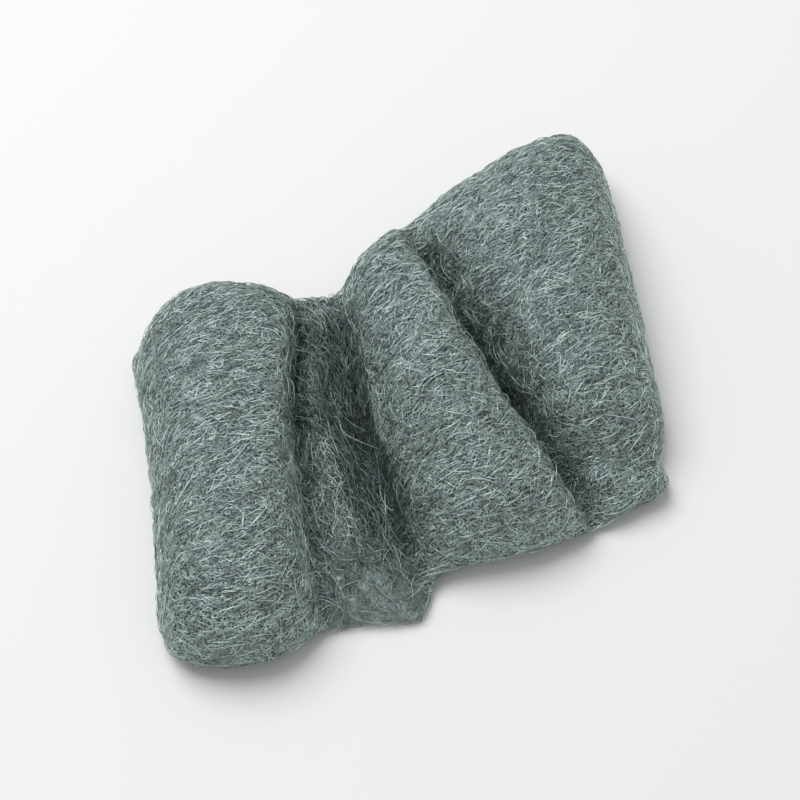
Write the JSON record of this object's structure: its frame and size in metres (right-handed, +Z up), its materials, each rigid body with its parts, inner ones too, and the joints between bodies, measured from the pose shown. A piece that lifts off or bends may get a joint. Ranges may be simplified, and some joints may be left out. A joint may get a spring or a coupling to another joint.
{
  "type": "steel wool",
  "caption": "A loose wad of steel wool: one ribbon of tangled grey steel fibre gathered into soft billows, with a deep valley and a pinched crease between them.",
  "frame": {"origin": "centre of the bounding box in plan, on the surface that the wad lies on", "axes": "+Z up, +Y across the ribbon from its near edge to its far edge, +X along the ribbon towards its right end"},
  "size_m": [0.133, 0.155, 0.0289],
  "materials": {
    "steel_fibre": "fine tangled carbon steel fibre, dull grey with brighter strands"
  },
  "bodies": {
    "root": {"steel_wool": "steel_fibre"}
  },
  "joints": []
}
